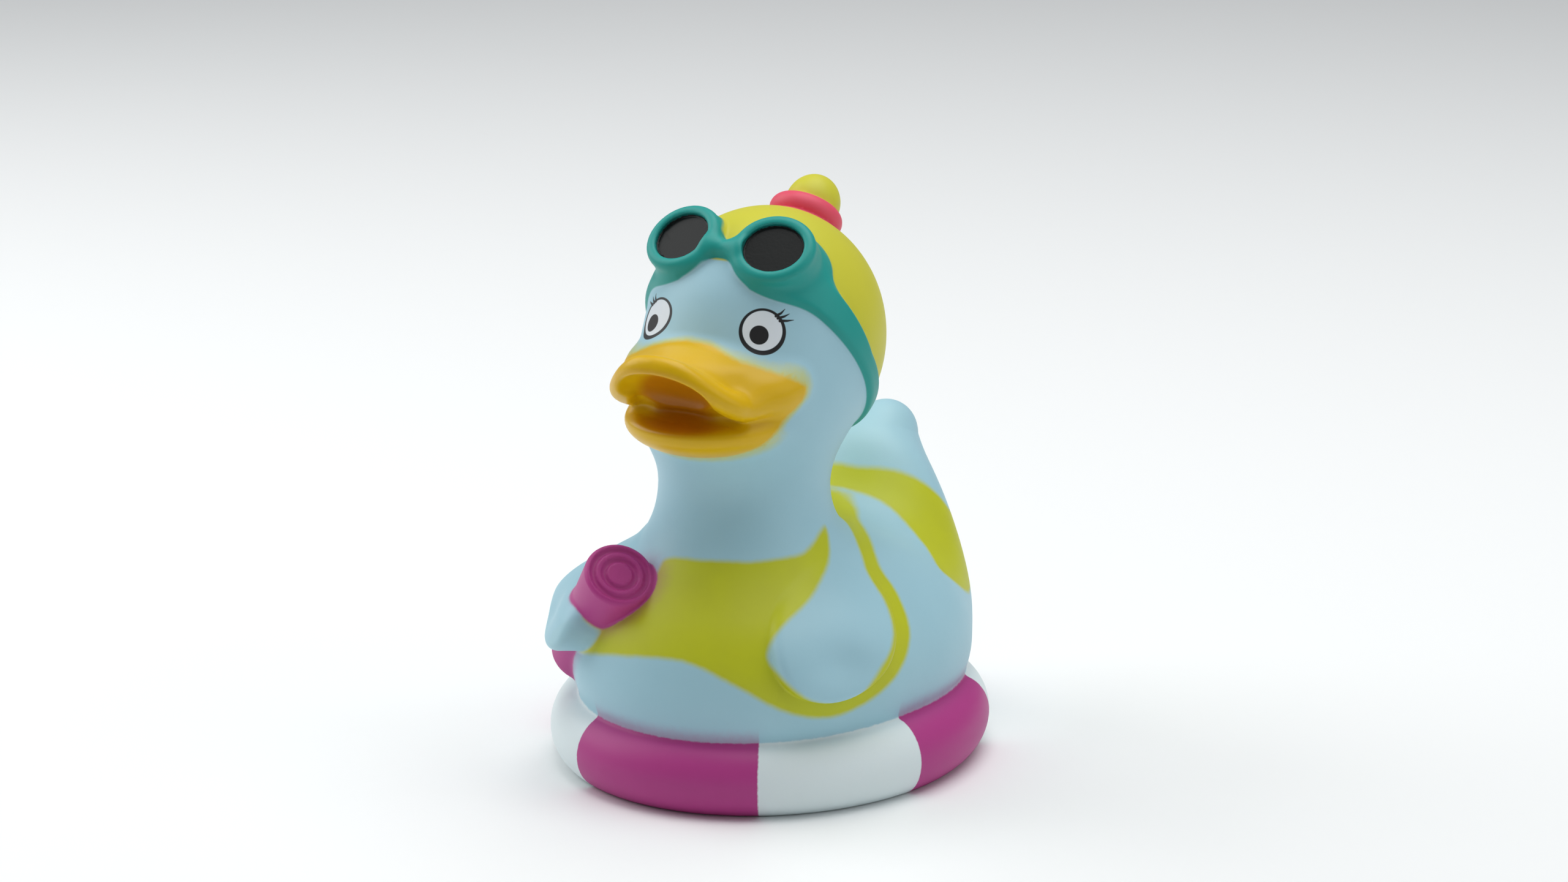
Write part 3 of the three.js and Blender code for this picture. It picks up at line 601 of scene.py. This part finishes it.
class Shader:
    """A material's nodes, written as arithmetic on sockets."""

    def __init__(self, name):
        self.material = bpy.data.materials.new(name)
        self.material.use_nodes = True
        self.tree = self.material.node_tree
        self.principled = self.tree.nodes["Principled BSDF"]
        self.place = self.node("ShaderNodeTexCoord").outputs["Object"]

    def node(self, kind, **settings):
        made = self.tree.nodes.new(kind)
        for name, value in settings.items():
            setattr(made, name, value)
        return made

    def feed(self, socket, value):
        if isinstance(value, bpy.types.NodeSocket):
            self.tree.links.new(value, socket)
        else:
            socket.default_value = value

    def math(self, operation, *values, clamp=False):
        made = self.node("ShaderNodeMath", operation=operation, use_clamp=clamp)
        for socket, value in zip(made.inputs, values):
            self.feed(socket, value)
        return made.outputs[0]

    def vector(self, operation, *values):
        made = self.node("ShaderNodeVectorMath", operation=operation)
        for socket, value in zip(made.inputs, values):
            self.feed(socket, value)
        return made.outputs["Value"] if operation in ("DOT_PRODUCT", "LENGTH") else made.outputs["Vector"]

    def distance(self, name):
        return self.node("ShaderNodeAttribute", attribute_name=name).outputs["Fac"]

    def noise(self, size_mm, detail=2.0, rough=0.5):
        """Noise of a given grain, from about -0.5 to 0.5."""
        made = self.node("ShaderNodeTexNoise")
        self.feed(made.inputs["Vector"], self.place)
        made.inputs["Scale"].default_value = 1 / (size_mm * MM)
        made.inputs["Detail"].default_value = detail
        made.inputs["Roughness"].default_value = rough
        return self.math("SUBTRACT", made.outputs["Fac"], 0.5)

    def inside(self, distance, soft, grow=0.0, wander=0.0, waves=0.8):
        """1 inside a paint edge and 0 outside it; EDGES says what the sizes are."""
        if wander:
            stray = self.math("MULTIPLY", self.noise(waves, detail=3, rough=0.6), wander)
            distance = self.math("ADD", distance, stray)
        made = self.node("ShaderNodeMapRange", interpolation_type="SMOOTHSTEP")
        for name, value in (("Value", distance), ("From Min", grow + soft), ("From Max", grow - soft),
                            ("To Min", 0.0), ("To Max", 1.0)):
            self.feed(made.inputs[name], value)
        return made.outputs["Result"]

    def mix(self, share, a, b):
        made = self.node("ShaderNodeMix", data_type="RGBA")
        for name, value in (("Factor_Float", share), ("A_Color", a), ("B_Color", b)):
            socket = next(s for s in made.inputs if s.identifier == name)
            self.feed(socket, value)
        return next(s for s in made.outputs if s.identifier == "Result_Color")

    def blend(self, share, a, b):
        made = self.node("ShaderNodeMix", data_type="FLOAT")
        for name, value in (("Factor_Float", share), ("A_Float", a), ("B_Float", b)):
            socket = next(s for s in made.inputs if s.identifier == name)
            self.feed(socket, value)
        return next(s for s in made.outputs if s.identifier == "Result_Float")


BLUE = srgb(166, 206, 219)
DEEP_BLUE = srgb(158, 200, 214)
LIME = srgb(194, 200, 30)
DEEP_LIME = srgb(186, 190, 42)
CAP = srgb(204, 200, 58)
TEAL = srgb(30, 152, 144)
LENS = srgb(12, 16, 16)
CORAL = srgb(226, 82, 106)
# Darker orange for the painted shade inside the mouth
ORANGE = srgb(218, 175, 4)
MOUTH_SHADE_ORANGE = srgb(186, 114, 0)
BILL_FRINGE = srgb(200, 196, 70)
MAGENTA = srgb(178, 60, 134)
WHITE = srgb(222, 234, 236)
INK = srgb(34, 34, 36)
EYE_WHITE = srgb(222, 230, 236)
FLOOR_WHITE = srgb(246, 248, 248)

# Paint edges in mm: soft is half the width of the fade, grow how far the paint spreads past its outline,
# wander how far the edge strays to both sides together, and waves how long these strays are
EDGES = dict(
    wing=dict(soft=0.15, grow=0.12),
    suit=dict(soft=0.5, wander=0.25, waves=1.5),
    cap=dict(soft=0.2),
    goggles=dict(soft=0.1, grow=0.15),
    lens=dict(soft=0.06),
    band=dict(soft=0.15, grow=0.1),
    bill=dict(soft=0.4, grow=-0.45, wander=0.4),
    # The mouth's edge is the edge of the painted shade inside it
    mouth=dict(soft=0.7),
    towel=dict(soft=0.15, grow=0.3, wander=0.2),
    ring=dict(soft=0.2, grow=0.1, wander=0.5),
    stripe=dict(soft=0.12, wander=0.25, waves=0.6),
)
FRINGE = dict(soft=0.45, grow=0.1, wander=0.3)
TOWEL_SPRAY = dict(soft=1.6, grow=0.9, wander=0.8)
RING_SPRAY = dict(soft=1.6, grow=1.2, wander=1.0)
BILL_GLOSS = dict(soft=0.4)
LENS_GLOSS = dict(soft=0.08)
SHARE = dict(fringe=0.75, towel_spray=0.4, ring_spray=0.45)

# Surface of the vinyl: patches are where its colour varies a little, and lengths are in mm
ROUGHNESS = dict(vinyl=0.46, bill=0.34, lens=0.28, floor=0.6)
SPECULAR = dict(vinyl=0.32, lens=0.15)
PATCHES = dict(blue=9, lime=5)
GRAIN = dict(size=0.35, depth=0.03, strength=0.25)
SUBSURFACE = dict(weight=0.08, scale=1.5, radius=(1.0, 0.8, 0.7))

# Printed eyes: sizes in mm from the eye's centre, across it towards its lashes and up
EYES = [
    dict(centre=(8.07, -15.6, 63.3), side=1, gaze=(-0.47, -0.42), slant=0.0, wide=1.0),
    dict(centre=(-8.6, -15.3, 62.95), side=-1, gaze=(0.1, -0.7), slant=-0.3, wide=1.2),
]
EYE = dict(outer=3.12, white=2.64, white_up=0.15, pupil=1.27)
LASHES = [
    [(1.85, 2.05), (2.55, 2.42), (3.08, 2.95)],
    [(2.1, 1.75), (2.95, 1.98), (3.65, 2.32)],
    [(2.35, 1.4), (3.3, 1.4), (4.2, 1.5)],
]
LASH_RADII = (0.2, 0.15, 0.04)
PRINT_SOFT = 0.05
PRINT_DEPTH = dict(soft=0.5, grow=3.0)


class EyePrint:
    """One printed eye, drawn in the plane that touches the head at its centre."""

    def __init__(self, shader, eye, shift):
        self.shader = shader
        self.gaze = eye["gaze"]
        centre = v3(eye["centre"])
        normal = Vector(slope_of(head_field, centre).ravel()).normalized()
        across = Vector((0, 0, 1)).cross(normal).normalized() * eye["side"]
        upward = (Vector((0, 0, 1)) - normal * normal.z).normalized()
        gap = shader.vector("SUBTRACT", shader.place, Vector((centre + v3((0, shift, 0))).ravel()) * MM)
        slanted = (across - upward * eye["slant"]) / (MM * eye["wide"])
        plane = shader.node("ShaderNodeCombineXYZ")
        shader.feed(plane.inputs[0], shader.vector("DOT_PRODUCT", gap, slanted))
        shader.feed(plane.inputs[1], shader.vector("DOT_PRODUCT", gap, upward / MM))
        self.flat = plane.outputs[0]
        depth = shader.vector("DOT_PRODUCT", gap, normal / MM)
        self.near = shader.inside(shader.math("ABSOLUTE", depth), **PRINT_DEPTH)

    def disc(self, at, radius):
        off = self.shader.vector("SUBTRACT", self.flat, Vector((*at, 0)))
        return self.shader.math("SUBTRACT", self.shader.vector("LENGTH", off), radius)

    def stroke(self, start, end, first, last):
        shader = self.shader
        start, end = Vector((*start, 0)), Vector((*end, 0))
        along = end - start
        off = shader.vector("SUBTRACT", self.flat, start)
        t = shader.math("DIVIDE", shader.vector("DOT_PRODUCT", off, along), along.length_squared, clamp=True)
        nearest = shader.node("ShaderNodeVectorMath", operation="SCALE")
        shader.feed(nearest.inputs[0], along)
        shader.feed(nearest.inputs["Scale"], t)
        gap = shader.vector("LENGTH", shader.vector("SUBTRACT", off, nearest.outputs[0]))
        taper = shader.math("ADD", shader.math("MULTIPLY", t, last - first), first)
        return shader.math("SUBTRACT", gap, taper)

    def masks(self):
        """(Ink, white) of the eye: ink is its outline, its pupil and its lashes."""
        shader = self.shader
        outer = shader.inside(self.disc((0, 0), EYE["outer"]), PRINT_SOFT)
        white = shader.inside(self.disc((0, EYE["white_up"]), EYE["white"]), PRINT_SOFT)
        drawn = self.disc(self.gaze, EYE["pupil"])
        for root, bend, tip in LASHES:
            drawn = shader.math("MINIMUM", drawn, self.stroke(root, bend, *LASH_RADII[:2]))
            drawn = shader.math("MINIMUM", drawn, self.stroke(bend, tip, *LASH_RADII[1:]))
        ink = shader.math("SUBTRACT", outer, white, clamp=True)
        ink = shader.math("MAXIMUM", ink, shader.inside(drawn, PRINT_SOFT))
        return shader.math("MULTIPLY", ink, self.near), shader.math("MULTIPLY", white, self.near)


def painted_vinyl(shift):
    """The paints in the order in which they were sprayed and printed, each over the ones before, with painted
    shade in the mouth as a darker orange.
    """
    s = Shader("painted_vinyl")
    distances = {name: s.distance(name) for name in EDGES}
    masks = {name: s.inside(distances[name], **edge) for name, edge in EDGES.items()}

    blue = s.mix(s.math("ADD", 0.5, s.noise(PATCHES["blue"], detail=3)), BLUE, DEEP_BLUE)
    lime = s.mix(s.math("ADD", 0.5, s.noise(PATCHES["lime"])), LIME, DEEP_LIME)
    off_wing = s.math("SUBTRACT", 1.0, masks["wing"])
    colour = s.mix(s.math("MULTIPLY", masks["suit"], off_wing), blue, lime)
    for name, paint in (("cap", CAP), ("goggles", TEAL), ("lens", LENS), ("band", CORAL)):
        colour = s.mix(masks[name], colour, paint)

    fringe = s.math("MULTIPLY", s.inside(distances["bill"], **FRINGE), SHARE["fringe"])
    colour = s.mix(fringe, colour, BILL_FRINGE)
    colour = s.mix(masks["bill"], colour, ORANGE)
    # Painted shade: the mouth's recess in a darker orange
    colour = s.mix(masks["mouth"], colour, MOUTH_SHADE_ORANGE)

    spray = s.math("MULTIPLY", s.inside(distances["towel"], **TOWEL_SPRAY), SHARE["towel_spray"])
    colour = s.mix(s.math("MULTIPLY", spray, off_wing), colour, MAGENTA)
    colour = s.mix(s.math("MULTIPLY", masks["towel"], off_wing), colour, MAGENTA)

    spray = s.math("MULTIPLY", s.inside(distances["ring"], **RING_SPRAY), SHARE["ring_spray"])
    colour = s.mix(s.math("MULTIPLY", spray, masks["stripe"]), colour, MAGENTA)
    colour = s.mix(masks["ring"], colour, s.mix(masks["stripe"], WHITE, MAGENTA))

    for eye in EYES:
        ink, white = EyePrint(s, eye, shift).masks()
        colour = s.mix(white, colour, EYE_WHITE)
        colour = s.mix(ink, colour, INK)
    s.feed(s.principled.inputs["Base Color"], colour)

    lens = s.inside(distances["lens"], **LENS_GLOSS)
    rough = s.blend(s.inside(distances["bill"], **BILL_GLOSS), ROUGHNESS["vinyl"], ROUGHNESS["bill"])
    s.feed(s.principled.inputs["Roughness"], s.blend(lens, rough, ROUGHNESS["lens"]))
    s.feed(s.principled.inputs["Specular IOR Level"], s.blend(lens, SPECULAR["vinyl"], SPECULAR["lens"]))
    bump = s.node("ShaderNodeBump")
    bump.inputs["Strength"].default_value = GRAIN["strength"]
    bump.inputs["Distance"].default_value = GRAIN["depth"] * MM
    s.feed(bump.inputs["Height"], s.noise(GRAIN["size"], detail=3))
    s.feed(s.principled.inputs["Normal"], bump.outputs["Normal"])
    s.principled.inputs["Subsurface Weight"].default_value = SUBSURFACE["weight"]
    s.principled.inputs["Subsurface Scale"].default_value = SUBSURFACE["scale"] * MM
    s.principled.inputs["Subsurface Radius"].default_value = SUBSURFACE["radius"]
    return s.material


def make_duck():
    """(The duck, how far along Y it lies from the design frame). The CAD box begins at the ring's front."""
    shift = cad_low[1] / MM + RING["length"] / 2 - RING["back"]
    mesh = moulding_mesh()
    points = settle(moulding_field, vertices_of(mesh), CELL, rounds=1)
    normals = slope_of(moulding_field, points)
    normals /= np.sqrt((normals ** 2).sum(0)) + TINY
    for name, distance in paint_distances(points).items():
        layer = mesh.attributes.new(name, "FLOAT", "POINT")
        layer.data.foreach_set("value", distance.astype(np.float32))
    placed = (points + v3((0, shift, 0))) * MM
    mesh.vertices.foreach_set("co", placed.T.astype(np.float32).ravel())
    mesh.shade_smooth()
    mesh.normals_split_custom_set_from_vertices(normals.T)
    mesh.name = "duck_moulding"
    duck = bpy.data.objects.new("duck_moulding", mesh)
    bpy.context.scene.collection.objects.link(duck)
    mesh.materials.clear()
    mesh.materials.append(painted_vinyl(shift))
    return duck, shift


duck, shift = make_duck()
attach(duck, "root")
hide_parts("duck")


# Staging: a white floor and three soft lamps in metres, and the camera in mm
FLOOR_SIZE = 6
LAMPS_AIM = (0, 0, 0.03)
LAMPS = dict(
    top=dict(place=(0.05, 0.1, 0.7), size=0.7, power=4.4),
    right=dict(place=(0.65, 0.1, 0.35), size=0.5, power=0.75),
    left=dict(place=(-0.5, -0.1, 0.35), size=0.5, power=1.8),
)
WORLD = dict(colour=(0.93, 0.96, 1.0, 1), strength=0.2)
CAMERA = dict(azimuth=30.0, elevation=15.4, away=650, up=38, aim_right=2.0, aim_up=5.417,
              sensor=36, lens=109.6875)


def add_floor():
    bpy.ops.mesh.primitive_plane_add(size=FLOOR_SIZE, location=(0, 0, 0))
    floor = bpy.context.object
    floor.name = "floor"
    s = Shader("floor")
    s.principled.inputs["Base Color"].default_value = FLOOR_WHITE
    s.principled.inputs["Roughness"].default_value = ROUGHNESS["floor"]
    floor.data.materials.append(s.material)


def add_lamp(name, place, size, power):
    lamp = bpy.data.lights.new(name, "AREA")
    lamp.shape = "RECTANGLE"
    lamp.size = lamp.size_y = size
    lamp.energy = power
    obj = bpy.data.objects.new(name, lamp)
    obj.location = place
    obj.rotation_euler = (Vector(LAMPS_AIM) - Vector(place)).to_track_quat("-Z", "Y").to_euler()
    bpy.context.scene.collection.objects.link(obj)


def add_camera():
    azimuth, elevation = math.radians(CAMERA["azimuth"]), math.radians(CAMERA["elevation"])
    level = math.cos(elevation)
    out = Vector((math.sin(azimuth) * level, -math.cos(azimuth) * level, math.sin(elevation)))
    across = Vector((math.cos(azimuth), math.sin(azimuth), 0))
    upward = out.cross(across)
    aim = Vector((0, shift, CAMERA["up"])) + across * CAMERA["aim_right"] + upward * CAMERA["aim_up"]
    camera = bpy.data.cameras.new("camera")
    camera.sensor_width = CAMERA["sensor"]
    camera.lens = CAMERA["lens"]
    obj = bpy.data.objects.new("camera", camera)
    turn = Matrix((across, upward, out)).transposed().to_4x4()
    obj.matrix_world = Matrix.Translation((aim + out * CAMERA["away"]) * MM) @ turn
    bpy.context.scene.collection.objects.link(obj)
    bpy.context.scene.camera = obj


add_floor()
for lamp_name, lamp in LAMPS.items():
    add_lamp(lamp_name, **lamp)
add_camera()
world = bpy.data.worlds.new("studio")
world.use_nodes = True
world.node_tree.nodes["Background"].inputs["Color"].default_value = WORLD["colour"]
world.node_tree.nodes["Background"].inputs["Strength"].default_value = WORLD["strength"]
bpy.context.scene.world = world
bpy.context.scene.view_settings.view_transform = "Standard"
